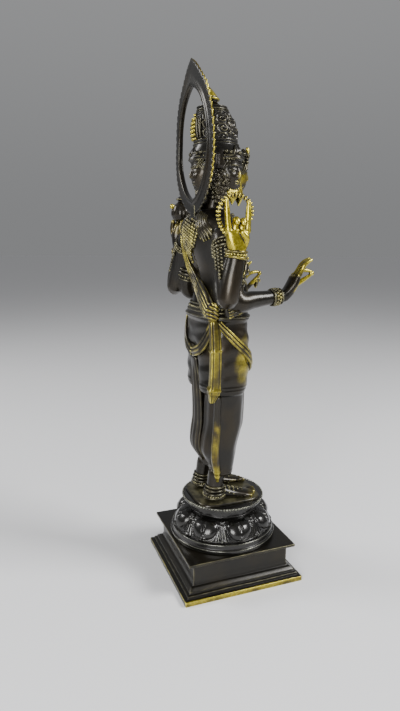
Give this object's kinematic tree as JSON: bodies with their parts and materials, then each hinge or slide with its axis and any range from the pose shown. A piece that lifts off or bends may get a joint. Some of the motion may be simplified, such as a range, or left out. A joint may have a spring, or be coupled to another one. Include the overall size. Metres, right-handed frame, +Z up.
{
  "type": "brahma figure",
  "caption": "Standing cast bronze figure of Brahma with several heads and arms, rosary, water pot and pointed halo, on a round lotus pedestal and a square moulded plinth.",
  "frame": {"origin": "centre of the plinth's underside", "axes": "+Z up, the figure looks towards -Y, and its right side is towards -X"},
  "size_m": [0.1292, 0.0986, 0.3802],
  "materials": {
    "plinth_bronze": "dark brown patina, satin, with rubbed golden edges",
    "pedestal_bronze": "near black patina, glossy on the high carving",
    "figure_bronze": "dark brown patina, satin, rubbed golden on the high parts",
    "halo_bronze": "dark brown patina, satin, with a rubbed edge"
  },
  "bodies": {
    "root": {"plinth": "plinth_bronze", "lotus_pedestal": "pedestal_bronze", "figure": "figure_bronze", "halo": "halo_bronze"}
  },
  "joints": []
}
